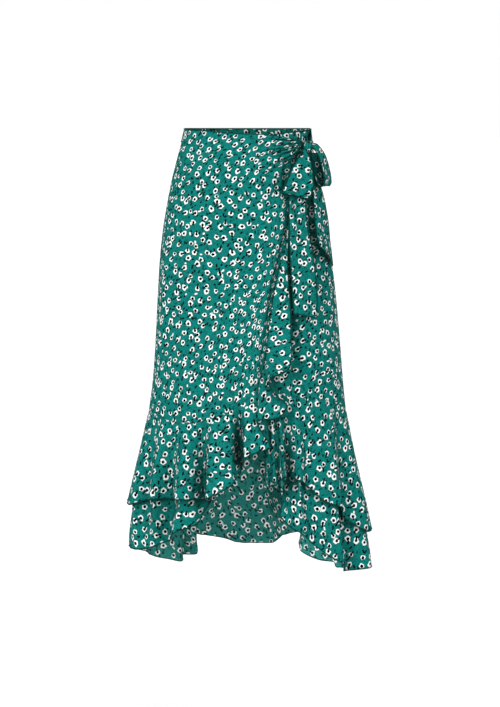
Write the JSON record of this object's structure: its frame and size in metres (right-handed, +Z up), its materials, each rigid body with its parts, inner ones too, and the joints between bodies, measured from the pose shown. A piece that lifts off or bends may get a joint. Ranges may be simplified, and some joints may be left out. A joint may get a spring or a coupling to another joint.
{
  "type": "wrap skirt",
  "caption": "Midi wrap skirt in flowered crepe, high at the front and low at the back, with a double flounce, a cascading edge ruffle and a tied side bow.",
  "frame": {"origin": "centre of the waist opening, at the height of the back waist edge", "axes": "+Z up, the front of the skirt faces -Y, the bow is on the +X side"},
  "size_m": [0.4887, 0.3557, 0.9028],
  "materials": {
    "printed_crepe": "matt crinkled crepe printed all over with small white flowers with black centres and black leaves"
  },
  "bodies": {
    "root": {"overlap_panel": "printed_crepe", "underlap_panel": "printed_crepe", "back_panel": "printed_crepe", "overlap_flounce": "printed_crepe", "overlap_low_flounce": "printed_crepe", "cascade_ruffle": "printed_crepe", "underlap_flounce": "printed_crepe", "underlap_low_flounce": "printed_crepe", "back_flounce": "printed_crepe", "back_low_flounce": "printed_crepe", "tie_band": "printed_crepe", "knot": "printed_crepe", "bow_front_loop": "printed_crepe", "bow_side_loop": "printed_crepe", "tie_front_tail": "printed_crepe", "tie_side_tail": "printed_crepe"}
  },
  "joints": []
}
